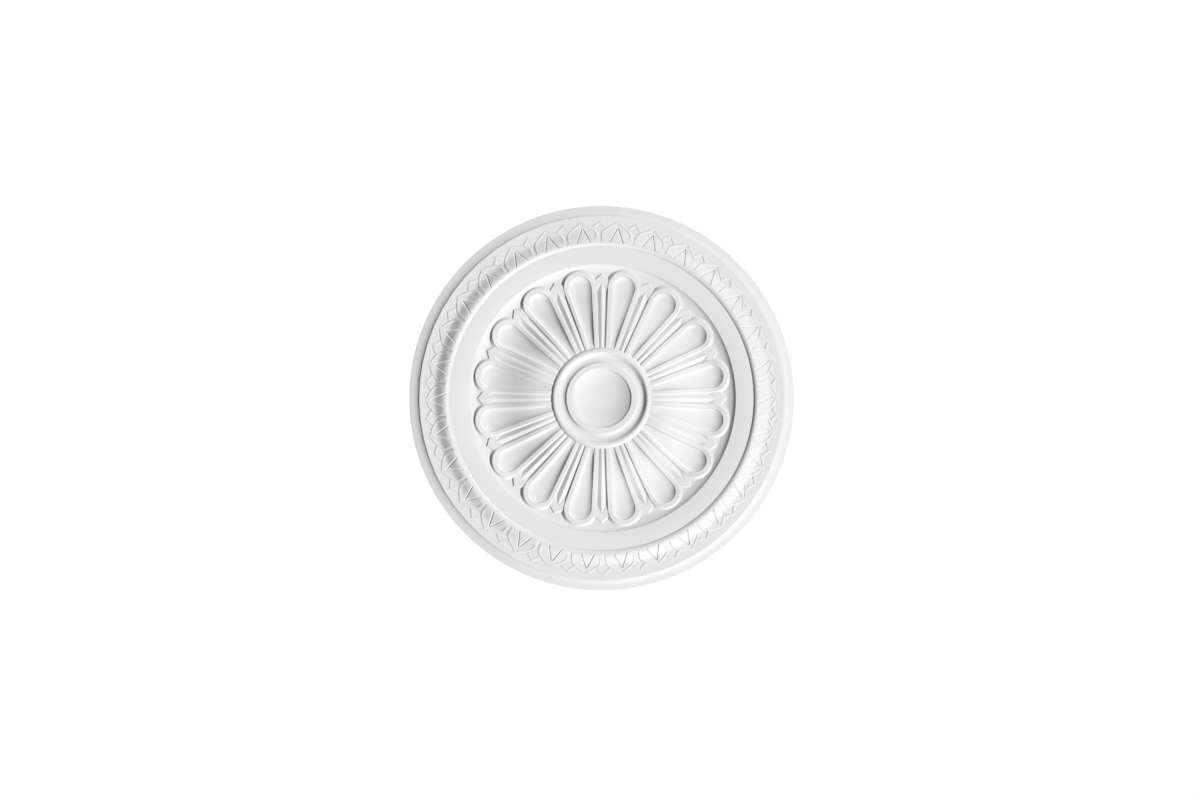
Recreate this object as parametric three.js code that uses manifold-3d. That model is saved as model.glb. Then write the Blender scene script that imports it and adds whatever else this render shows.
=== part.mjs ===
// A ceiling rose: one round casting with its flat back on the ceiling and its ornament facing down.
// A hollowed hub is ringed by spoon-shaped petals and ridged darts in a sunken bowl. Round the bowl run
// a flat ring, a leaf-and-dart moulding, a flat band and a coved edge.
// Millimetres, +Z up. The back lies at z = 0 with the origin at its middle, so heights are given as
// drops: how far a point hangs below the ceiling.
import * as THREE from "three";
import { LoftGeometry } from "three/addons/geometries/LoftGeometry.js";
import { mergeVertices } from "three/addons/utils/BufferGeometryUtils.js";
import Module from "manifold-3d";

const wasm = await Module();
wasm.setup();

// The edge and the outer band, counted inwards from the rim
const ROSE_DIAMETER = 600;
const EDGE_DROP = 6;
const EDGE_COVE_WIDTH = 12.8;
const EDGE_COVE_RISE = 4.4;
const EDGE_STEP_WIDTH = 1.7;
const EDGE_STEP_RISE = 2.8;
const BAND_WIDTH = 11.9;

// The leaf-and-dart moulding: an ogee that swells inwards to a crest and turns back to the flat ring
const OGEE_WIDTH = 28.6;
const OGEE_RISE = 9.2;
const CREST_WIDTH = 7.7;
const CREST_RISE = 3.9;
const LEAF_COUNT = 30;
const LEAF_TURN = -0.7;
const LEAF_LENGTH = 30.5;
const LEAF_POINT_LENGTH = 21;
const LEAF_GAP = 1.6;
const LEAF_MARGIN = 1.4;
const LEAF_LIFT = 0.7;

// The flat ring and the bowl inside it
const FLAT_RING_WIDTH = 27.8;
const BOWL_COVE_WIDTH = 13;
const BOWL_DEPTH = 6.9;

// The petals: flat-rimmed spoons that fall from the hub to the bowl's floor
const PETAL_COUNT = 16;
const PETAL_OVERHANG = 6.4;
const PETAL_HEAD_RADIUS = 25.8;
const PETAL_ROOT_WIDTH = 22;
const PETAL_RIM_SIDE = 8;
const PETAL_RIM_TIP = 10.2;
const PETAL_ROOT_RISE = 22.6;
const PETAL_HEAD_RISE = 2.4;
const PETAL_LIP_LIFT = 1.2;
const PETAL_SHOULDER = 14;
const PETAL_HOLLOW = 4.9;
const PETAL_WALL_DRAFT = 30;

// The darts: a long ridge between two petals that ends in a raised chevron
const DART_SLOPE = 20;
const DART_TIP_GAP = 0.4;
const CHEVRON_ANGLE = 38;
const CHEVRON_LENGTH = 13;
const CHEVRON_RISE = 1.7;
const CHEVRON_BEVEL = 1.6;

// The hub, counted inwards: a rounded bead, an ogee into a cove, a flat ring and a hollow
const HUB_DIAMETER = 159;
const BEAD_WIDTH = 6.4;
const BEAD_RISE = 4.6;
const HUB_OGEE_WIDTH = 11.9;
const HUB_OGEE_FALL = 7.3;
const HUB_COVE_WIDTH = 7.3;
const HUB_COVE_RISE = 5.1;
const HUB_RING_WIDTH = 6.7;
const HUB_HOLLOW = 13.3;

// Proportions of the free forms: where the crest shoulders over, the rows of points across a leaf, how
// round a petal's hollow is in section and how soon it reaches its depth, where the floor stops under a
// petal's head, how much of the depth behind the hollows is plate, and how far a chevron's wings reach
const CREST_SHOULDER = 0.6;
const LEAF_ROWS = [0.08, 0.34, 0.62, 0.93];
const HOLLOW_FULLNESS = 2.6;
const HOLLOW_STEP = 0.8;
const HOLLOW_AT_ROOT = 0.3;
const HOLLOW_FULL_BY = 0.35;
const FLOOR_UNDER_HEAD = 0.41;
const PLATE_BEHIND_HOLLOW = 0.6;
const CHEVRON_WING = 0.4;

// Facets
const BODY_SIDES = 80;
const HUB_SIDES = 32;
const PETAL_SIDE_STEPS = 5;
const PETAL_HEAD_STEPS = 7;

// Radii, from the rim inwards
const edgeRadius = ROSE_DIAMETER / 2;
const stepRadius = edgeRadius - EDGE_COVE_WIDTH;
const bandRadius = stepRadius - EDGE_STEP_WIDTH;
const ogeeRadius = bandRadius - BAND_WIDTH;
const crestRadius = ogeeRadius - OGEE_WIDTH;
const flatRadius = crestRadius - CREST_WIDTH;
const bowlRadius = flatRadius - FLAT_RING_WIDTH;
const floorRadius = bowlRadius - BOWL_COVE_WIDTH;
const headCentre = floorRadius + PETAL_OVERHANG - PETAL_HEAD_RADIUS;
const dartRadius = floorRadius - DART_TIP_GAP;
const ridgeEnd = dartRadius - CHEVRON_LENGTH;
const hubRadius = HUB_DIAMETER / 2;
const rootRadius = hubRadius - BEAD_WIDTH / 2;

// Drops, and the plate left behind the deepest part of the petals' hollows, in which the forms are rooted
const bandDrop = EDGE_DROP + EDGE_COVE_RISE + EDGE_STEP_RISE;
const crestDrop = bandDrop + OGEE_RISE;
const flatDrop = crestDrop - CREST_RISE;
const floorDrop = flatDrop - BOWL_DEPTH;
const chevronDrop = floorDrop + CHEVRON_RISE;
const plateDrop = (floorDrop + PETAL_HEAD_RISE - PETAL_HOLLOW) * PLATE_BEHIND_HOLLOW;
const rootDrop = plateDrop / 3;

const petalAngle = (2 * Math.PI) / PETAL_COUNT;
const leafAngle = (2 * Math.PI) / LEAF_COUNT;

// A point at a radius, an angle round the axis and a drop below the ceiling
function at(radius, angle, drop) {
  return new THREE.Vector3(radius * Math.cos(angle), radius * Math.sin(angle), -drop);
}

// A closed geometry as a solid to join: shared corners merged, folded triangles dropped, faces out
function solidOf(geometry) {
  const bare = new THREE.BufferGeometry().setIndex(geometry.index);
  bare.setAttribute("position", geometry.getAttribute("position"));
  const merged = mergeVertices(bare, 1e-3);
  const corners = merged.index.array;
  const kept = [];
  for (let i = 0; i < corners.length; i += 3) {
    const [a, b, c] = corners.slice(i, i + 3);
    if (a !== b && b !== c && c !== a) kept.push(a, b, c);
  }
  const build = (triVerts) =>
    new wasm.Manifold(
      new wasm.Mesh({
        numProp: 3,
        vertProperties: merged.getAttribute("position").array,
        triVerts: new Uint32Array(triVerts),
      }),
    );
  const solid = build(kept);
  return solid.volume() > 0 ? solid : build(kept.reverse());
}

// A solid turned from [radius, drop] pairs that start and end on the axis
function turned(profile, sides) {
  const points = profile.map(([radius, drop]) => new THREE.Vector2(radius, -drop));
  return solidOf(new THREE.LatheGeometry(points, sides).rotateX(Math.PI / 2));
}

// The steps of a curve from one [radius, drop] pair to another, without the first pair. shape gives the
// share of the change in drop at each share of the change in radius.
function curve([r0, d0], [r1, d1], steps, shape) {
  return Array.from({ length: steps }, (_, i) => {
    const share = (i + 1) / steps;
    return [r0 + (r1 - r0) * share, d0 + (d1 - d0) * shape(share)];
  });
}

const rounded = (share) => Math.sqrt(1 - (1 - share) ** 2);
const coved = (share) => share ** 1.7;
const ogee = (share) => (1 - Math.cos(Math.PI * share)) / 2;
const fromOtherEnd = (shape) => (share) => 1 - shape(1 - share);

// The plate with its coved edge, band, flat ring and bowl. The leaf moulding lies over it from the band
// to the flat ring. Its floor stops under the petals' heads, where their hollows go lower than it.
function makePlate() {
  const floorEnd = headCentre + PETAL_HEAD_RADIUS * FLOOR_UNDER_HEAD;
  return turned(
    [
      [0, 0],
      [edgeRadius, 0],
      [edgeRadius, EDGE_DROP],
      ...curve([edgeRadius, EDGE_DROP], [stepRadius, EDGE_DROP + EDGE_COVE_RISE], 2, coved),
      [bandRadius, bandDrop],
      [crestRadius, bandDrop],
      [crestRadius, flatDrop],
      [bowlRadius, flatDrop],
      ...curve([bowlRadius, flatDrop], [floorRadius, floorDrop], 2, fromOtherEnd(coved)),
      [floorEnd, floorDrop],
      [floorEnd, plateDrop],
      [0, plateDrop],
    ],
    BODY_SIDES,
  );
}

// One ring of points round the leaf moulding. Each leaf stands lift proud across its half width, slopes
// off over its margin, and the middle of the gap beside it stands midLift proud.
function leafRow(radius, drop, halfWidth, lift, midLift) {
  const margin = LEAF_MARGIN / radius;
  const columns = [
    [0, lift],
    [halfWidth, lift],
    [halfWidth + margin, 0],
    [leafAngle / 2, midLift],
    [leafAngle - halfWidth - margin, 0],
    [leafAngle - halfWidth, lift],
  ];
  const turn = THREE.MathUtils.degToRad(LEAF_TURN);
  return Array.from({ length: LEAF_COUNT }, (_, leaf) =>
    columns.map(([angle, proud]) => at(radius, turn + leaf * leafAngle + angle, drop + proud)),
  ).flat();
}

// The leaf-and-dart moulding: leaves hang outwards from the crest of an ogee, each widening from its
// point by a sine until a narrow gap parts it from the next, and a dart shows between the points
function makeLeaves() {
  const tipRadius = crestRadius + LEAF_LENGTH;
  const widest = leafAngle / 2 - (LEAF_GAP / 2 + LEAF_MARGIN) / crestRadius;
  const ground = (radius) => {
    const share = THREE.MathUtils.clamp((radius - crestRadius) / OGEE_WIDTH, 0, 1);
    return crestDrop - LEAF_LIFT - (OGEE_RISE - LEAF_LIFT) * ogee(share ** 0.7);
  };
  const plain = (radius, drop) => leafRow(radius, drop, widest, 0, 0);
  const carved = (radius) => {
    const share = Math.min(1, (tipRadius - radius) / LEAF_POINT_LENGTH);
    const dart = share < 1 ? LEAF_LIFT : 0;
    return leafRow(radius, ground(radius), widest * Math.sin((Math.PI / 2) * share), LEAF_LIFT, dart);
  };
  const shoulderRadius = flatRadius + CREST_WIDTH * CREST_SHOULDER;
  const shoulderDrop = flatDrop + CREST_RISE * rounded(CREST_SHOULDER);
  return solidOf(
    new LoftGeometry([
      plain(flatRadius, rootDrop),
      plain(flatRadius, flatDrop),
      plain(shoulderRadius, shoulderDrop),
      ...LEAF_ROWS.map((share) => carved(crestRadius + LEAF_LENGTH * share)),
      plain(tipRadius + LEAF_LIFT, bandDrop - LEAF_LIFT),
      plain(tipRadius + LEAF_LIFT, rootDrop),
      plain(flatRadius, rootDrop),
    ]),
  );
}

// How low the petals' rims and the darts' ridges hang at a radius: level at the hub, a long fall, and a
// slight lift at the heads
function rimDrop(radius) {
  const fallStart = hubRadius + PETAL_SHOULDER;
  const fall = THREE.MathUtils.clamp((radius - fallStart) / (headCentre - fallStart), 0, 1);
  const lip = THREE.MathUtils.clamp((radius - headCentre) / PETAL_HEAD_RADIUS, 0, 1);
  const rise = PETAL_HEAD_RISE + (PETAL_ROOT_RISE - PETAL_HEAD_RISE) * (1 - ogee(fall));
  return floorDrop + rise + PETAL_LIP_LIFT * ogee(lip);
}

// One outline of a petal on its own axis: two straight sides from the root, tangent to a round head
function petalOutline(rootHalf, centre, headRadius) {
  const reach = centre - rootRadius;
  const lean = Math.asin(headRadius / Math.hypot(reach, rootHalf)) - Math.atan2(rootHalf, reach);
  const tangent = [centre - headRadius * Math.sin(lean), headRadius * Math.cos(lean)];
  const side = Array.from({ length: PETAL_SIDE_STEPS }, (_, i) => {
    const share = i / PETAL_SIDE_STEPS;
    const x = rootRadius + (tangent[0] - rootRadius) * share;
    return [x, rootHalf + (tangent[1] - rootHalf) * share];
  });
  const sweep = Math.PI + 2 * lean;
  const head = Array.from({ length: PETAL_HEAD_STEPS + 1 }, (_, i) => {
    const angle = sweep / 2 - (sweep * i) / PETAL_HEAD_STEPS;
    return [centre + headRadius * Math.cos(angle), headRadius * Math.sin(angle)];
  });
  return [...side, ...head, ...side.map(([x, y]) => [x, -y]).reverse()];
}

// A petal: walls with some draft that run into the floor, a level rim, and a hollow that keeps its depth
// from a little way off the root. The rings of the hollow close in on a line along its middle.
function makePetal(axisAngle) {
  const place = (outline, dropAt) =>
    outline.map(([x, y]) => {
      const radius = Math.hypot(x, y);
      return at(radius, axisAngle + Math.atan2(y, x), dropAt(radius, x));
    });
  const rootHalf = PETAL_ROOT_WIDTH / 2;
  const wall = PETAL_HEAD_RISE + PETAL_LIP_LIFT + (floorDrop - plateDrop) / 2;
  const run = wall * Math.tan(THREE.MathUtils.degToRad(PETAL_WALL_DRAFT));
  const foot = petalOutline(rootHalf + run, headCentre, PETAL_HEAD_RADIUS + run);
  const hollowHead = PETAL_HEAD_RADIUS - (PETAL_RIM_TIP + PETAL_RIM_SIDE) / 2;
  const hollowCentre = headCentre - (PETAL_RIM_TIP - PETAL_RIM_SIDE) / 2;
  const hollowRing = (share) => {
    const outline = petalOutline((rootHalf - PETAL_RIM_SIDE) * share, hollowCentre, hollowHead * share);
    return place(outline, (radius, x) => {
      const along = (x - rootRadius) / (hollowCentre - rootRadius) / HOLLOW_FULL_BY;
      const deep = THREE.MathUtils.clamp(HOLLOW_AT_ROOT + (1 - HOLLOW_AT_ROOT) * along, 0, 1);
      return rimDrop(radius) - PETAL_HOLLOW * deep * (1 - share ** HOLLOW_FULLNESS);
    });
  };
  return solidOf(
    new LoftGeometry(
      [
        place(foot, () => rootDrop),
        place(foot, (radius) => rimDrop(radius) - wall),
        place(petalOutline(rootHalf, headCentre, PETAL_HEAD_RADIUS), rimDrop),
        hollowRing(1),
        hollowRing(HOLLOW_STEP),
        hollowRing(0),
      ],
      { capStart: true },
    ),
  );
}

// The ridges of all the darts as one pleated ring, whose valleys lie hidden under the petals
function makeRidges() {
  const slope = Math.tan(THREE.MathUtils.degToRad(DART_SLOPE));
  const lowest = (rootDrop + plateDrop) / 2;
  const ring = (radius, ridgeDrop, valleyDrop) =>
    Array.from({ length: 2 * PETAL_COUNT }, (_, i) =>
      at(radius, (i * petalAngle) / 2, i % 2 ? valleyDrop : ridgeDrop),
    );
  const pleat = (radius, ridgeDrop) => {
    const valleyDrop = ridgeDrop - radius * Math.sin(petalAngle / 2) * slope;
    return ring(radius, ridgeDrop, Math.max(valleyDrop, lowest));
  };
  const stations = Array.from({ length: PETAL_SIDE_STEPS }, (_, i) => {
    const radius = rootRadius + ((headCentre - rootRadius) * i) / (PETAL_SIDE_STEPS - 1);
    return pleat(radius, rimDrop(radius));
  });
  return solidOf(
    new LoftGeometry([
      ring(rootRadius, rootDrop, rootDrop),
      ...stations,
      pleat(ridgeEnd, chevronDrop),
      ring(ridgeEnd, rootDrop, rootDrop),
      ring(rootRadius, rootDrop, rootDrop),
    ]),
  );
}

// The raised chevron with bevelled edges at a dart's end, its wings running under the petals
function makeChevron(axisAngle) {
  const point = dartRadius - CHEVRON_BEVEL;
  const wing = CHEVRON_WING * dartRadius * Math.sin(petalAngle / 2);
  const back = wing * Math.tan(THREE.MathUtils.degToRad(CHEVRON_ANGLE));
  const outline = new THREE.Shape([
    new THREE.Vector2(point, 0),
    new THREE.Vector2(point - back, wing),
    new THREE.Vector2(ridgeEnd - back, wing),
    new THREE.Vector2(ridgeEnd, 0),
    new THREE.Vector2(ridgeEnd - back, -wing),
    new THREE.Vector2(point - back, -wing),
  ]);
  const block = new THREE.ExtrudeGeometry(outline, {
    depth: chevronDrop - rootDrop - CHEVRON_RISE,
    bevelThickness: CHEVRON_RISE,
    bevelSize: CHEVRON_BEVEL,
    bevelSegments: 1,
  });
  return solidOf(block.translate(0, 0, CHEVRON_RISE - chevronDrop).rotateZ(axisAngle));
}

// The hub: bead, ogee, cove, flat ring and a bowl-shaped hollow
function makeHub() {
  const beadRadius = hubRadius - BEAD_WIDTH;
  const coveRadius = beadRadius - HUB_OGEE_WIDTH;
  const ringRadius = coveRadius - HUB_COVE_WIDTH;
  const hollowRadius = ringRadius - HUB_RING_WIDTH;
  const petalDrop = floorDrop + PETAL_ROOT_RISE;
  const beadDrop = petalDrop + BEAD_RISE;
  const coveDrop = beadDrop - HUB_OGEE_FALL;
  const ringDrop = coveDrop + HUB_COVE_RISE;
  return turned(
    [
      [0, rootDrop],
      [hubRadius, rootDrop],
      [hubRadius, petalDrop],
      ...curve([hubRadius, petalDrop], [beadRadius, beadDrop], 3, rounded),
      ...curve([beadRadius, beadDrop], [coveRadius, coveDrop], 3, ogee),
      ...curve([coveRadius, coveDrop], [ringRadius, ringDrop], 2, fromOtherEnd(rounded)),
      [hollowRadius, ringDrop],
      ...[1, 2, 3, 4].map((step) => {
        const angle = (step / 4) * (Math.PI / 2);
        return [hollowRadius * Math.cos(angle), ringDrop - HUB_HOLLOW * Math.sin(angle)];
      }),
    ],
    HUB_SIDES,
  );
}

let casting = makePlate().add(makeLeaves()).add(makeHub()).add(makeRidges());
for (let i = 0; i < PETAL_COUNT; i++) {
  casting = casting.add(makePetal((i + 0.5) * petalAngle)).add(makeChevron(i * petalAngle));
}

const joined = casting.getMesh();
const geometry = new THREE.BufferGeometry();
geometry.setAttribute("position", new THREE.BufferAttribute(joined.vertProperties, 3));
geometry.setIndex(new THREE.BufferAttribute(joined.triVerts, 1));
const white = new THREE.MeshStandardMaterial({ color: 0xf2f2f0, roughness: 0.7, metalness: 0 });
const rose = new THREE.Mesh(geometry, white);
rose.name = "ceiling_rose";

const part = new THREE.Group();
part.add(rose);
export default part;
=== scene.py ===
"""A ceiling rose: one round white casting, flat against the ceiling, ornament facing down.

Points are written as (radius, angle, drop) in millimetres: drop is how far a point hangs below the
ceiling plane z = 0, so z = -drop. Angles are counted from +X towards +Y. The forms of the casting are
closed shells, each a grid of points worked out in one go; at the end they are fused into one body.
"""

import bmesh
import bpy
import numpy as np
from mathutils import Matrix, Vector


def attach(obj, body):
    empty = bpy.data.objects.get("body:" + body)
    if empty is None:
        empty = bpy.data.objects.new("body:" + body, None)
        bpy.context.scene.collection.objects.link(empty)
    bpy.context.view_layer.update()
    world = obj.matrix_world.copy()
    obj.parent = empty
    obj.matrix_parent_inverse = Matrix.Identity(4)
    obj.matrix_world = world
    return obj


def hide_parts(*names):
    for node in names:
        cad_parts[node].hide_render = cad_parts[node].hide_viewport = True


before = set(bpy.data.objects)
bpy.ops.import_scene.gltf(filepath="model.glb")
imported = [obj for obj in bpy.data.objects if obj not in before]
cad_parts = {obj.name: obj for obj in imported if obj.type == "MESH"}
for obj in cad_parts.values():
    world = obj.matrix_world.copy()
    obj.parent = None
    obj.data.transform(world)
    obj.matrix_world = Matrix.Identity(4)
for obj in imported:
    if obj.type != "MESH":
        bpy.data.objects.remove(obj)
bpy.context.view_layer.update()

# The back plate. A flat-backed disc with a thin edge, a shallow cove, a flat ring and a sunken bowl;
# on the real casting it is the body that everything else grows out of.
MM = 0.001
PLATE_SIDES = 320
BACK_RING = 150.0
BACK_CHAMFER = 0.5
ROSE_RADIUS = 300.0
EDGE_DROP = 6.0
EDGE_ROUNDING = 0.7
EDGE_COVE = (286.8, 10.2)
EDGE_COVE_ROWS = 11
UNDER_BORDER = 250.0
FLAT_RING_OUT = 244.0
FLAT_RING_IN = 208.9
FLAT_DROP = 18.5
FLOOR_RADIUS = 195.4
FLOOR_DROP = 9.2
BOWL_COVE_ROWS = 15
FLOOR_IN = 188.0
FLOOR_WEAVE = 3.0
CORE_RING = 90.0
CORE_DROP = 5.5
PETALS = 16
PETAL_PITCH = 2 * np.pi / PETALS


def around(radius, angle, drop):
    """Points in metres: x = radius cos(angle), y = radius sin(angle), z = -drop."""
    radius, angle, drop = np.broadcast_arrays(radius, angle, drop)
    return np.stack([radius * np.cos(angle), radius * np.sin(angle), -drop], axis=-1) * MM


def shell(name, grid, copies=1, torus=False):
    """A closed shell from rings of points, grid[ring, point], each ring a closed loop.

    Ring i is joined to ring i + 1 by four-sided faces. A torus joins its last ring to its first; else
    the first ring is filled with one face, and the last ring has drawn together to a point or a line.
    The shell is repeated by turning it round z by equal angles. Points that coincide are merged, and
    the faces are turned outwards.
    """
    rings, count = grid.shape[:2]
    index = np.arange(rings * count).reshape(rings, count)
    low, high = (index, np.roll(index, -1, axis=0)) if torus else (index[:-1], index[1:])
    faces = np.stack([low, np.roll(low, -1, 1), np.roll(high, -1, 1), high], -1).reshape(-1, 4)
    turn = 2 * np.pi * np.arange(copies)[:, None, None] / copies
    flat = grid.reshape(1, -1, 3)
    x = flat[..., 0:1] * np.cos(turn) - flat[..., 1:2] * np.sin(turn)
    y = flat[..., 0:1] * np.sin(turn) + flat[..., 1:2] * np.cos(turn)
    z = np.broadcast_to(flat[..., 2:3], x.shape)
    points = np.concatenate([x, y, z], -1).reshape(-1, 3)
    shift = (np.arange(copies) * rings * count)[:, None, None]
    polygons = (faces[None] + shift).reshape(-1, 4).tolist()
    if not torus:
        polygons += (index[0][None] + shift[:, 0]).tolist()
    mesh = bpy.data.meshes.new(name)
    mesh.from_pydata(points, [], polygons)
    work = bmesh.new()
    work.from_mesh(mesh)
    bmesh.ops.remove_doubles(work, verts=work.verts, dist=2e-6)
    bmesh.ops.dissolve_degenerate(work, edges=work.edges, dist=1e-7)
    bmesh.ops.recalc_face_normals(work, faces=work.faces)
    work.to_mesh(mesh)
    work.free()
    made = bpy.data.objects.new(name, mesh)
    bpy.context.scene.collection.objects.link(made)
    return made


def sweep(start, end, rows, way):
    """(radius, drop) rows from start to end, way(share) giving the share of the drop's change."""
    share = np.linspace(0, 1, rows)
    return [(start[0] + (end[0] - start[0]) * s, start[1] + (end[1] - start[1]) * way(s))
            for s in share]


def turned(name, profile, sides, wave=None):
    """A solid of revolution: every (radius, drop) row swept round z. wave shifts a row's radius."""
    rows = np.array(profile)
    angle = 2 * np.pi * np.arange(sides) / sides
    radius = rows[:, :1] + (0 if wave is None else wave(rows[:, :1], angle[None]))
    return shell(name, around(radius, angle[None], rows[:, 1:]))


def edge_cove(share):
    """0.6 s + 0.4 s^4: a slack slope at the edge that turns up towards the border."""
    return 0.6 * share + 0.4 * share**4


def bowl_cove(share):
    """1 - 0.55 (1 - s)^1.15 - 0.45 (1 - s)^5: steep under the flat ring, slack on to the floor."""
    return 1 - 0.55 * (1 - share) ** 1.15 - 0.45 * (1 - share) ** 5


def floor_edge(radius, angle):
    """The floor's hidden inner edge weaves out under each petal's hollow and in beside each dart."""
    return np.where(np.abs(radius - FLOOR_IN) < 0.5, -FLOOR_WEAVE * np.cos(PETALS * angle), 0.0)


def plate_profile():
    """(radius, drop) rows: out over the flat back, round the edge, then in over the face."""
    back = [(0, 0), (BACK_RING, 0), (ROSE_RADIUS - BACK_CHAMFER, 0), (ROSE_RADIUS, BACK_CHAMFER)]
    edge = [(ROSE_RADIUS - EDGE_ROUNDING * (1 - np.cos(turn)),
             EDGE_DROP - EDGE_ROUNDING * (1 - np.sin(turn))) for turn in (0.0, 0.5, 1.0)]
    cove = sweep((ROSE_RADIUS - EDGE_ROUNDING, EDGE_DROP), EDGE_COVE, EDGE_COVE_ROWS, edge_cove)
    under = [(UNDER_BORDER, EDGE_COVE[1]), (FLAT_RING_OUT, FLAT_DROP - 1)]
    flat = [(FLAT_RING_OUT, FLAT_DROP), (FLAT_RING_IN + 0.7, FLAT_DROP),
            (FLAT_RING_IN + 0.2, FLAT_DROP - 0.12)]
    bowl = sweep((FLAT_RING_IN, FLAT_DROP - 0.3), (FLOOR_RADIUS, FLOOR_DROP), BOWL_COVE_ROWS, bowl_cove)
    core = [(FLOOR_IN, FLOOR_DROP), (FLOOR_IN, CORE_DROP), (CORE_RING, CORE_DROP), (0, CORE_DROP)]
    return back + edge + cove + under + flat + bowl + core


plate = turned("plate", plate_profile(), PLATE_SIDES, floor_edge)

# The leaf-and-dart border. Thirty overlapping leaves hang outwards over an ogee moulding, each with a
# bordered edge and a V-shaped vein, and the point of a dart shows in every gap; cast with the plate.
LEAVES = 30
LEAF_HALF = np.degrees(np.pi / LEAVES)
LEAF_TURN = np.radians(-0.7)
CREST = (243.4, 25.2)
CREST_SHARES = np.array([0, 0.03, 0.08, 0.16, 0.28, 0.43, 0.6, 0.8])
LEAF_ROWS = 36
BORDER_IN = 236.7
BORDER_BASE = 2.8
OGEE_START = CREST[0] - 0.3
OGEE_END = 262.4
OGEE_DROP = 9.2
TAIL_START = 253.0
TAIL_END = 275.0
BAND_START = 273.4
BAND_DROP = 13.2
BAND_END = 284.6
BAND_STEP = ((-0.4, BAND_DROP), (0, BAND_DROP - 0.15), (2.6, 9.8), (2.9, 9.2), (2.9, BORDER_BASE))
SLOT_HALF = 0.52
SLOT_END = (246.6, 244.2)
SLOT_DEPTH = 0.9
SLOT_SPAN = (244.4, 246.4, 257.0, 267.0)
LEAF_TIP = 275.3
LEAF_CURVE = 20.3
LEAF_SIDE_END = 250.0
LEAF_FIELD = 0.55
FIELD_SPAN = (243.0, 246.0, 274.8, 275.8)
LET_IN_SPAN = (243.0, 246.0, 262.0, BAND_START)
RIM_TIP = 272.0
RIM_WIDEST = 4.6
RIM_CURVE = 17.2
LEAF_RIM = 0.75
RIM_SPAN = (248.5, 252.0, 274.8, 275.8)
RIM_MEETS = 271.7
VEIN_WIDEST = 2.5
VEIN_ENDS = (266.9, 242.5)
VEIN_HALF = 1.55
VEIN_FLAT = 0.15
VEIN_DEPTH = 1.45
VEIN_SPAN = (242.2, 244.2, 265.6, 267.6)
DART_WIDEST = 2.8
DART_ENDS = (276.4, 267.2)
DART_INNER_WIDEST = 2.0
DART_INNER_ENDS = (271.9, 264.5)
DART_RIM = 1.0
DART_SPAN = (262.5, 263.5, 275.8, 276.9)
STEP_RUN = 0.45
COLUMN_GAP = 0.02
SAME_LINE = 0.002


def fade(value, start, end):
    """0 before start, 1 after end, an even slope between."""
    return np.clip((value - start) / (end - start), 0, 1)


def within(value, span):
    """A span is (start, full, last, end), the radii between which a height rises, holds and fades:
    0 before start, 1 from full to last, 0 after end, even slopes between."""
    start, full, last, end = span
    return fade(value, start, full) * fade(value, end, last)


def ease(share):
    """Half a cosine, (1 - cos(pi s)) / 2: 0 to 1, level at both ends."""
    return 0.5 * (1 - np.cos(np.pi * share))


def leaf_line(radius, tip, widest, length):
    """Half a leaf's angle in degrees: from its tip inwards, widest times the sine of a quarter turn."""
    return widest * np.sin(0.5 * np.pi * fade(radius, tip, tip - length))


def border_ground(radius):
    """Drop of the plain moulding: a quarter round up to the crest, then two eased falls that overlap,
    a steep one and a slack one down to the band; the leaves' field is let into it."""
    rise = fade(radius, BORDER_IN, CREST[0])
    inner = FLAT_DROP + (CREST[1] - FLAT_DROP) * np.sqrt(1 - (1 - rise) ** 2)
    tail_drop = CREST[1] - OGEE_DROP - BAND_DROP
    steep_fall = OGEE_DROP * ease(fade(radius, OGEE_START, OGEE_END))
    slack_fall = tail_drop * ease(fade(radius, TAIL_START, TAIL_END))
    return inner - steep_fall - slack_fall - LEAF_FIELD * within(radius, LET_IN_SPAN)


def border_columns(r):
    """(angle, height) of every column at the rows r, from a leaf's axis to the middle of the gap.

    Each line is an angle in degrees from the axis, worked out for every row: the vein, the inner edge
    of the leaf's rim, the leaf's outline, the outer and the inner edge of the dart's rim. A step
    between two levels is a pair of columns, one on each side of its line, so that its slope has the
    same run across the line everywhere.
    """
    slot = SLOT_HALF * np.sqrt(np.clip(1 - fade(r, *SLOT_END) ** 2, 0, 1))
    side = leaf_line(r, LEAF_TIP, LEAF_HALF - SLOT_HALF, LEAF_CURVE)
    outline = np.where(r < LEAF_SIDE_END, LEAF_HALF - slot, side)
    rim = leaf_line(r, RIM_TIP, RIM_WIDEST, RIM_CURVE)
    vein = VEIN_WIDEST * fade(r, *VEIN_ENDS)
    dart = LEAF_HALF - DART_WIDEST * fade(r, *DART_ENDS)
    point = LEAF_HALF - DART_INNER_WIDEST * fade(r, *DART_INNER_ENDS)

    def run(line, across):
        """Across, in mm, as an angle along the row: longer where the line runs slantwise."""
        slant = np.gradient(np.radians(line[:, 0]), r[:, 0])[:, None] * r
        return np.degrees(across * np.minimum(np.sqrt(1 + slant**2), 3.0) / r)

    low = -SLOT_DEPTH * within(r, SLOT_SPAN)
    field = LEAF_FIELD * within(r, FIELD_SPAN)
    raised = field + LEAF_RIM * within(r, RIM_SPAN)
    cut = field - VEIN_DEPTH * within(r, VEIN_SPAN)
    tip = DART_RIM * within(r, DART_SPAN)
    return [
        (np.zeros_like(r), np.where(r > RIM_MEETS, raised, field)),
        (vein - run(vein, VEIN_HALF), field),
        (vein - run(vein, VEIN_FLAT), cut),
        (vein + run(vein, VEIN_FLAT), cut),
        (vein + run(vein, VEIN_HALF), field),
        (rim - run(rim, STEP_RUN), field),
        (rim + run(rim, STEP_RUN), raised),
        (outline - run(outline, STEP_RUN), raised),
        (outline + run(outline, STEP_RUN), low),
        (dart - run(dart, STEP_RUN), low),
        (dart + run(dart, STEP_RUN), tip),
        (point - run(point, STEP_RUN), tip),
        (point + run(point, STEP_RUN), low),
        (np.full_like(r, LEAF_HALF - COLUMN_GAP), low),
    ]


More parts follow.
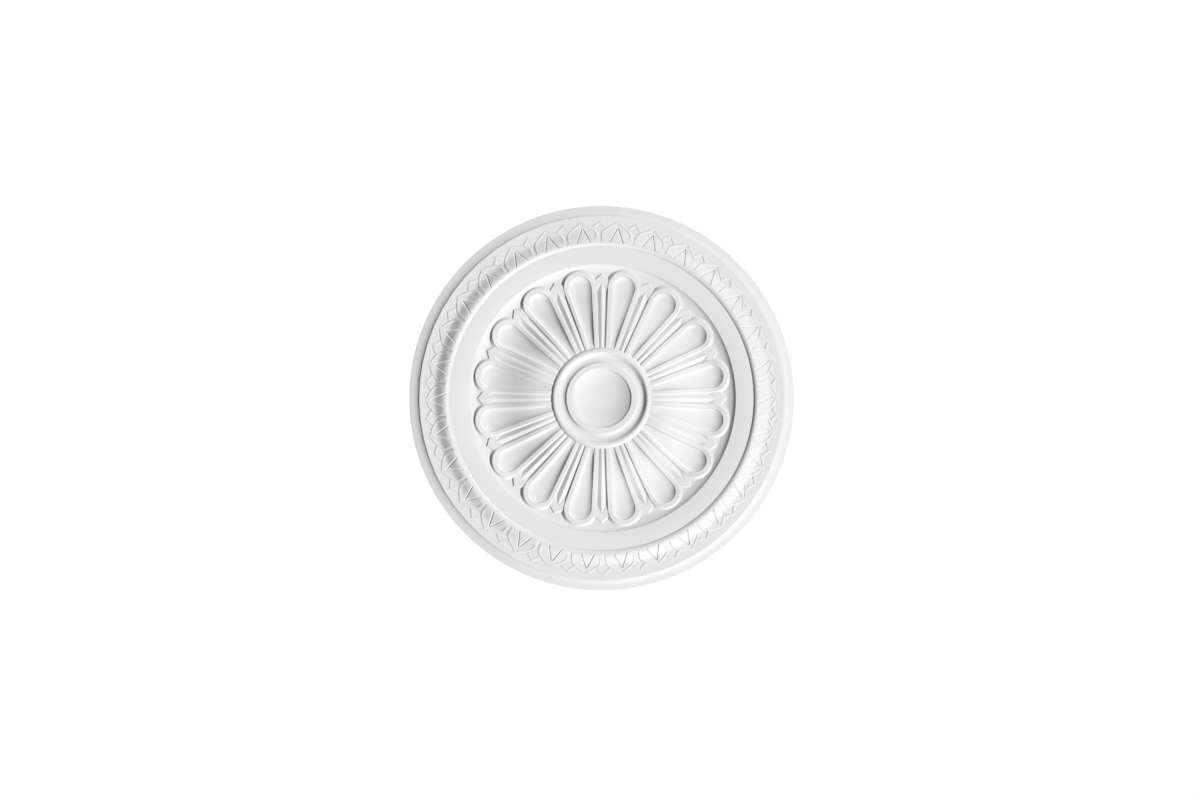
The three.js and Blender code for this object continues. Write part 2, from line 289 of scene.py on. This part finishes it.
def make_border():
    """The border's grid: rows of one radius, columns that follow the lines of leaf and dart.

    A column that another one covers is moved on to it and takes its height. Half a leaf is mirrored
    at the middle of the gap and repeated; hidden rows at both ends take the shell into the plate.
    """
    inner = BORDER_IN + (CREST[0] - BORDER_IN) * CREST_SHARES
    r = np.concatenate([inner, np.linspace(CREST[0] - 0.5, LEAF_TIP + 1.8, LEAF_ROWS)])[:, None]
    columns = border_columns(r)
    angles, heights = [columns[0][0]], [columns[0][1]]
    for angle, height in columns[1:]:
        angle = np.clip(angle, angles[-1], LEAF_HALF - COLUMN_GAP)
        heights.append(np.where(angle - angles[-1] < SAME_LINE, heights[-1], height))
        angles.append(angle)
    angles = np.concatenate(angles, 1)
    heights = np.concatenate(heights, 1)
    angles = np.concatenate([angles, 2 * LEAF_HALF - angles[:, :0:-1]], 1)
    drops = border_ground(r) + np.concatenate([heights, heights[:, :0:-1]], 1)
    foot = BORDER_IN - 0.25
    start = np.array([(foot, BORDER_BASE), (foot, FLAT_DROP - 0.4)])
    end = np.array(BAND_STEP) + (BAND_END, 0)
    wide = angles.shape[1]
    radius = np.repeat(np.concatenate([start[:, 0], r[:, 0], end[:, 0]])[:, None], wide, 1)
    drop = np.concatenate([np.repeat(start[:, 1:], wide, 1), drops, np.repeat(end[:, 1:], wide, 1)])
    angle = np.concatenate([np.repeat(angles[:1], len(start), 0), angles,
                            np.repeat(angles[-1:], len(end), 0)])
    leaf = np.radians(2 * LEAF_HALF * np.arange(LEAVES))[None, :, None]
    angle = (LEAF_TURN + leaf + np.radians(angle)[:, None, :]).reshape(len(radius), -1)
    return shell("border", around(np.tile(radius, LEAVES), angle, np.tile(drop, LEAVES)), torus=True)


border = make_border()

# The hub. A turned boss in the middle: a rounded bead, an ogee down into a cove, a flat ring and a
# bowl-shaped hollow, where a pendant's flex would be drilled through.
HUB_SIDES = 224
HUB_BASE = 1.2
HUB_RADIUS = 79.3
BEAD = (72.7, 38.8)
BEAD_FOOT = 28.0
BEAD_ROWS = 14
OGEE_ROWS = 22
COVE = (61.25, 31.5)
COVE_ROWS = 12
RING_FOOT = (56.9, 33.0)
HUB_RING_OUT = 54.9
HUB_RING_IN = 46.3
HUB_RING_DROP = 36.6
HUB_RING_ROUNDING = (0.4, 0.3)
HOLLOW_DEPTH = 13.3
HOLLOW_WALL = 4.0
HOLLOW_WALL_SLOPE = 1.8
HOLLOW_ROWS = 22


def steep(share):
    """0 to 1, level at both ends and steepest half-way: s^4 (35 - 84 s + 70 s^2 - 20 s^3)."""
    return share**4 * (35 - 84 * share + 70 * share**2 - 20 * share**3)


def hub_ogee(share):
    """The steep step, taken at s^0.82 so that it is steepest nearer to the bead."""
    return steep(share**0.82)


def hub_cove(share):
    """s^2.4: level at the bottom of the cove, rising towards the ring."""
    return share**2.4


def hub_hollow(share):
    """1 - (1 - s)^2.8: sloping below the wall and level in the middle."""
    return 1 - (1 - share) ** 2.8


def hub_profile():
    """(radius, drop) rows: a quarter-ellipse bead, a steep ogee, a cove, a ring and a walled bowl."""
    quarter = np.linspace(0, 0.5 * np.pi, BEAD_ROWS)
    bead = [(BEAD[0] + (HUB_RADIUS - BEAD[0]) * np.cos(turn),
             BEAD_FOOT + (BEAD[1] - BEAD_FOOT) * np.sin(turn)) for turn in quarter]
    ogee = sweep(BEAD, COVE, OGEE_ROWS, hub_ogee)[1:]
    cove = sweep(COVE, RING_FOOT, COVE_ROWS, hub_cove)[1:]
    across, below = HUB_RING_ROUNDING
    ring = [(HUB_RING_OUT, HUB_RING_DROP - below), (HUB_RING_OUT - across, HUB_RING_DROP),
            (HUB_RING_IN + across, HUB_RING_DROP), (HUB_RING_IN, HUB_RING_DROP - below)]
    wall_foot = (HUB_RING_IN - HOLLOW_WALL / HOLLOW_WALL_SLOPE, HUB_RING_DROP - HOLLOW_WALL)
    hollow = sweep(wall_foot, (0, HUB_RING_DROP - HOLLOW_DEPTH), HOLLOW_ROWS, hub_hollow)
    return [(0, HUB_BASE), (HUB_RADIUS, HUB_BASE)] + bead + ogee + cove + ring + hollow


hub = turned("hub", hub_profile(), HUB_SIDES)

# The petals. Sixteen spoon-shaped petals that fall from the hub to the bowl's floor, each with a level
# rim and a hollow middle; their walls lean out a little, as a casting's must to leave its mould.
# Lengths along a petal are counted from the middle of the rose.
ROOT_RADIUS = 76.5
ROOT_LIFT = 0.9
PETAL_BASE = 2.0
PETAL_APEX = 4.0
PETAL_CENTRE = 176.0
PETAL_RADIUS = 26.56
SIDE_POINTS = 27
HEAD_POINTS = 29
WALL_TOP = -2.2
WALL_DEPTH = 6.5
WALL_LEAN = np.tan(np.radians(37))
WALL_ROUNDING = 0.3
FALL_START = 94.0
FALL_END = 172.5
FALL_HIGH = 33.7
FALL_LOW = 13.6
LIP_START = FALL_END + 3
LIP_END = FALL_END + 24
LIP_DROP = 16.2
DISH_APEX = 46.0
DISH_CENTRE = 174.9
DISH_RADIUS = 18.3
DISH_STEP = 3.4
DISH_RUN = 1.0
DISH_SHARES = (1.0, 0.97, 0.93, 0.87, 0.79, 0.7, 0.58, 0.44, 0.28, 0.12, 0.0)
DISH_DEPTH = 7.2
DISH_SINKS = (80, 104)
DISH_DEEPER = 0.3
DISH_DEEPEST = 116
DISH_DEEPER_RUN = 14


def petal_rim(radius):
    """Drop of the rims: nearly level at the hub, an eased fall, a slight lift at the heads."""
    fall = ease(fade(radius, FALL_START, FALL_END))
    lip = ease(fade(radius, LIP_START, LIP_END))
    lift = ROOT_LIFT * fade(radius, FALL_START, ROOT_RADIUS) ** 2
    return FALL_HIGH + (FALL_LOW - FALL_HIGH) * fall + (LIP_DROP - FALL_LOW) * lip - lift


def petal_line(apex, centre, head, out=0.0):
    """A petal's outline on its own axis, moved outwards by out: two straight sides that spread from
    apex and touch a round head. Returns x along the axis and y across it."""
    lean = np.arcsin(head / (centre - apex))
    touch_x = centre - (head + out) * np.sin(lean)
    side_x = np.linspace(ROOT_RADIUS, touch_x, SIDE_POINTS)[:-1]
    side_y = (side_x - apex) * np.tan(lean) + out / np.cos(lean)
    turn = np.linspace(0.5 * np.pi + lean, -0.5 * np.pi - lean, HEAD_POINTS)
    x = np.concatenate([side_x, centre + (head + out) * np.cos(turn), side_x[::-1]])
    y = np.concatenate([side_y, (head + out) * np.sin(turn), -side_y[::-1]])
    return x, y


def dish_depth(x):
    """Depth of the hollow along the petal: half of it at the root, then it sinks in by the sine of a
    quarter turn, with a slight bell-shaped deepening further out."""
    soft = 0.5 + 0.5 * np.sin(0.5 * np.pi * fade(x, *DISH_SINKS))
    return DISH_DEPTH * soft + DISH_DEEPER * np.exp(-(((x - DISH_DEEPEST) / DISH_DEEPER_RUN) ** 2))


def dish_fullness(x):
    """The power n in the hollow's section 1 - u^n: 3.2 along the sides, up to 4.1 round the head."""
    return 3.2 + 0.9 * fade(x, 160, 184)


def make_petals():
    """Rings from the foot over the rim into the hollow.

    The hollow drops by a short wall inside its edge, and the rest of its depth is 1 - u^n of the share
    u of its half-width, the rings shrinking to the axis along the sides and to the head's middle.
    """
    rings = []

    def ring(x, y, drop):
        rings.append(around(np.hypot(x, y), np.arctan2(y, x) + 0.5 * PETAL_PITCH, drop))

    def wall(out, below):
        x, y = petal_line(PETAL_APEX, PETAL_CENTRE, PETAL_RADIUS, out)
        ring(x, y, petal_rim(np.hypot(x, y)) - below)

    foot = WALL_TOP + WALL_DEPTH * WALL_LEAN
    x, y = petal_line(PETAL_APEX, PETAL_CENTRE, PETAL_RADIUS, foot)
    ring(x, y, np.full_like(x, PETAL_BASE))
    wall(foot, WALL_DEPTH)
    wall(WALL_TOP + WALL_ROUNDING * WALL_LEAN, WALL_ROUNDING)
    wall(WALL_TOP - WALL_ROUNDING, 0.0)
    x, y = petal_line(DISH_APEX, DISH_CENTRE, DISH_RADIUS)
    ring(x, y, petal_rim(np.hypot(x, y)))
    for u in DISH_SHARES:
        x, y = petal_line(DISH_APEX, DISH_CENTRE, DISH_RADIUS, -DISH_RUN)
        x = np.where(x > DISH_CENTRE, DISH_CENTRE + (x - DISH_CENTRE) * u, x)
        cut = DISH_STEP + (dish_depth(x) - DISH_STEP) * (1 - u ** dish_fullness(x))
        ring(x, y * u, petal_rim(np.hypot(x, y * u)) - cut)
    return shell("petals", np.array(rings), copies=PETALS)


petals = make_petals()

# The darts. Between the petals a long ridge runs out from the hub, its sides sloping down to the
# petals' walls, and ends on the floor in a flat raised chevron with bevelled edges.
RIDGE_ROWS = 30
RIDGE_FALLS = 170.0
RIDGE_NEAR_END = (176.0, 179.0, 181.5)
RIDGE_END = 183.4
RIDGE_END_SLOPE = 0.06
RIDGE_SUNK = 0.7
RIDGE_ROUNDING = 0.45
RIDGE_FAN = np.radians([0, 0.12, 0.25, 0.42, 0.7, 1.4, 2.6, 4.5, 11.25])
RIDGE_LEAST = 3.5
RIDGE_BASE = 1.6
DART_SLOPE = np.tan(np.radians(27))
CHEVRON_DROP = 12.1
CHEVRON_BASE = 2.4
CHEVRON_TIP = 195.5
CHEVRON_BEVEL = 2.6
CHEVRON_LENGTH = 13.0
CHEVRON_RAMP = 14.0
CHEVRON_RAMP_SLOPE = np.tan(np.radians(14))
CHEVRON_SWEEP = np.tan(np.radians(38))
CHEVRON_WING = 15.3
CHEVRON_SHARES = np.array([-1, -0.05, -0.02, 0, 0.02, 0.05, 1])[:, None]
CHEVRON_POINT = 0.2


def make_ridges():
    """A pleated ring: drop = ridge - slope (sqrt(y^2 + c^2) - c), y the distance from a dart's axis
    and c the rounding of its edge. Near its end the ridge keeps under a line down to the chevron."""
    near, *last = RIDGE_NEAR_END
    r = np.concatenate([np.linspace(ROOT_RADIUS, near, RIDGE_ROWS), last, [RIDGE_END]])[:, None]
    fan = np.concatenate([RIDGE_FAN, PETAL_PITCH - RIDGE_FAN[-2:0:-1]])
    off = np.minimum(fan, PETAL_PITCH - fan)[None]
    ridge = petal_rim(r) - RIDGE_SUNK
    line = CHEVRON_DROP + RIDGE_END_SLOPE * (RIDGE_END - r)
    ridge = np.where(r > RIDGE_FALLS, np.minimum(ridge, line), ridge)
    y = r * np.sin(off)
    drop = ridge - DART_SLOPE * (np.sqrt(y**2 + RIDGE_ROUNDING**2) - RIDGE_ROUNDING)
    drop = np.maximum(drop, RIDGE_LEAST)
    base = np.full_like(drop[:1], RIDGE_BASE)
    angle = (PETAL_PITCH * np.arange(PETALS)[:, None] + fan[None]).reshape(1, -1)
    radius = np.concatenate([r[:1], r, r[-1:]])
    drop = np.tile(np.concatenate([base, drop, base]), PETALS)
    return shell("ridges", around(radius, angle, drop), torus=True)


def make_chevrons():
    """A profile carried along a swept-back V, x = profile - sweep (sqrt(y^2 + p^2) - p), y across the
    dart and p the rounding of its point: floor, bevel, flat top, then a gentle ramp inwards."""
    tip = CHEVRON_TIP
    top = tip - CHEVRON_BEVEL
    back = top - CHEVRON_LENGTH
    ramp_end = back - CHEVRON_RAMP
    profile = np.array([
        (ramp_end, CHEVRON_BASE), (ramp_end, CHEVRON_DROP - CHEVRON_RAMP * CHEVRON_RAMP_SLOPE),
        (back - 0.5, CHEVRON_DROP - 0.1), (back + 0.6, CHEVRON_DROP),
        (top - 0.5, CHEVRON_DROP), (top + 0.05, CHEVRON_DROP - 0.15),
        (tip - 0.2, FLOOR_DROP + 0.15), (tip + 0.6, FLOOR_DROP - 0.5), (tip + 0.6, CHEVRON_BASE)])
    across = CHEVRON_WING * CHEVRON_SHARES
    swept = CHEVRON_SWEEP * (np.sqrt(across**2 + CHEVRON_POINT**2) - CHEVRON_POINT)
    x = profile[None, :, 0] - swept
    y = np.broadcast_to(across, x.shape)
    z = np.broadcast_to(-profile[None, :, 1], x.shape)
    grid = np.stack([x, y, z], -1) * MM
    middle = np.broadcast_to(grid[-1:].mean(1, keepdims=True), grid[-1:].shape)
    return shell("chevrons", np.concatenate([grid, middle]), copies=PETALS)


ridges = make_ridges()
chevrons = make_chevrons()

# The casting. All the shells fused into one closed body with a plain flat back, painted matt white:
# a hardly visible unevenness in the paint's tone and gloss, and a faint grain from the mould.
SHARP = np.radians(14)
DULL_WHITE = (0.785, 0.783, 0.777, 1)
CLEAN_WHITE = (0.81, 0.81, 0.808, 1)
SMOOTHEST = 0.62
ROUGHEST = 0.74
GRAIN_DEPTH = 0.3 * MM


def fuse(body, others):
    """One closed body: the union of body with each other shell, whose objects are then removed."""
    for other in others:
        join = body.modifiers.new("join", "BOOLEAN")
        join.operation = "UNION"
        join.solver = "MANIFOLD"
        join.object = other
    fused = body.evaluated_get(bpy.context.evaluated_depsgraph_get())
    mesh = bpy.data.meshes.new_from_object(fused)
    for other in (body, *others):
        old = other.data
        bpy.data.objects.remove(other)
        bpy.data.meshes.remove(old)
    return mesh


def white_paint():
    """Matt white paint: colour and roughness vary a little with broad noise, fine grain in the bump."""
    paint = bpy.data.materials.new("white_paint")
    paint.use_nodes = True
    nodes, link = paint.node_tree.nodes, paint.node_tree.links.new
    surface = nodes["Principled BSDF"]
    place = nodes.new("ShaderNodeTexCoord")

    def noise(scale, detail, rough):
        made = nodes.new("ShaderNodeTexNoise")
        made.inputs["Scale"].default_value = scale
        made.inputs["Detail"].default_value = detail
        made.inputs["Roughness"].default_value = rough
        link(place.outputs["Object"], made.inputs["Vector"])
        return made.outputs["Fac"]

    tone = nodes.new("ShaderNodeValToRGB")
    tone.color_ramp.elements[0].position = 0.3
    tone.color_ramp.elements[0].color = DULL_WHITE
    tone.color_ramp.elements[1].position = 0.7
    tone.color_ramp.elements[1].color = CLEAN_WHITE
    link(noise(9, 3, 0.55), tone.inputs["Fac"])
    link(tone.outputs["Color"], surface.inputs["Base Color"])
    gloss = nodes.new("ShaderNodeMapRange")
    gloss.inputs["To Min"].default_value = SMOOTHEST
    gloss.inputs["To Max"].default_value = ROUGHEST
    link(noise(38, 4, 0.6), gloss.inputs["Value"])
    link(gloss.outputs["Result"], surface.inputs["Roughness"])
    grain = nodes.new("ShaderNodeBump")
    grain.inputs["Strength"].default_value = 0.12
    grain.inputs["Distance"].default_value = GRAIN_DEPTH
    link(noise(900, 3, 0.6), grain.inputs["Height"])
    link(grain.outputs["Normal"], surface.inputs["Normal"])
    surface.inputs["Specular IOR Level"].default_value = 0.2
    return paint


casting = bpy.data.objects.new("rose_casting", fuse(plate, (border, hub, ridges, chevrons, petals)))
bpy.context.scene.collection.objects.link(casting)
casting.data.shade_smooth()
casting.data.set_sharp_from_angle(angle=SHARP)
casting.data.materials.clear()
casting.data.materials.append(white_paint())
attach(casting, "root")
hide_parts("ceiling_rose")
# Its walls throw no light on each other: the photographed ones stay dark beside bright ones.
casting.visible_diffuse = False

# The room. The camera lies far below and looks straight up, square to the rose; soft suns give the
# photographed shading, another lights the flat back, a pale floor lies below and beyond it is white.
PIXEL = 1.5625 * MM
FRAME_WIDTH = 1200 * PIXEL
LENS = 135.0
SENSOR = 36.0
DISTANCE = FRAME_WIDTH * LENS / SENSOR
FLOOR_BELOW = 9.0
FLOOR_HALF = 60.0


def sun(name, bearing, height, strength, width):
    """A sun at bearing (from +X towards -Y) and height in degrees, height counted downwards. It casts
    no shadows, as the photographed rose has none; width, in degrees, softens it."""
    light = bpy.data.lights.new(name, "SUN")
    light.energy = strength * np.pi
    light.angle = np.radians(width)
    light.use_shadow = False
    a, h = np.radians(bearing), np.radians(height)
    source = Vector((np.cos(h) * np.cos(a), -np.cos(h) * np.sin(a), -np.sin(h)))
    lamp = bpy.data.objects.new(name, light)
    lamp.rotation_euler = source.to_track_quat("Z", "Y").to_euler()
    bpy.context.scene.collection.objects.link(lamp)


def make_floor():
    """A pale level floor that lets the suns below it through and throws no light back on the rose."""
    mesh = bpy.data.meshes.new("floor")
    corners = FLOOR_HALF * np.array([(-1, -1), (1, -1), (1, 1), (-1, 1)])
    mesh.from_pydata(np.column_stack([corners, np.full(4, -FLOOR_BELOW)]), [], [(0, 1, 2, 3)])
    paint = bpy.data.materials.new("pale_floor")
    paint.use_nodes = True
    surface = paint.node_tree.nodes["Principled BSDF"]
    surface.inputs["Base Color"].default_value = (0.96, 0.96, 0.96, 1)
    surface.inputs["Roughness"].default_value = 0.8
    mesh.materials.append(paint)
    made = bpy.data.objects.new("floor", mesh)
    bpy.context.scene.collection.objects.link(made)
    made.visible_shadow = False
    made.visible_diffuse = False
    return made


sun("sun_main", 345, 50, 0.95, 12)
sun("sun_low_top", 90, 12, 0.57, 12)
sun("sun_low_bottom", 270, 12, 0.62, 12)
sun("sun_on_back", 40, -60, 1.0, 20)
make_floor()
world = bpy.data.worlds.new("white_room")
world.use_nodes = True
ray = world.node_tree.nodes.new("ShaderNodeLightPath")
white = world.node_tree.nodes["Background"]
white.inputs["Color"].default_value = (1, 1, 1, 1)
world.node_tree.links.new(ray.outputs["Is Camera Ray"], white.inputs["Strength"])
bpy.context.scene.world = world
bpy.context.scene.view_settings.view_transform = "Standard"
camera = bpy.data.objects.new("camera", bpy.data.cameras.new("camera"))
camera.data.lens = LENS
camera.data.clip_end = 200
camera.location = (-1.67 * PIXEL, 1.8 * PIXEL, -DISTANCE)
camera.rotation_euler = (np.pi, 0, 0)
bpy.context.scene.collection.objects.link(camera)
bpy.context.scene.camera = camera
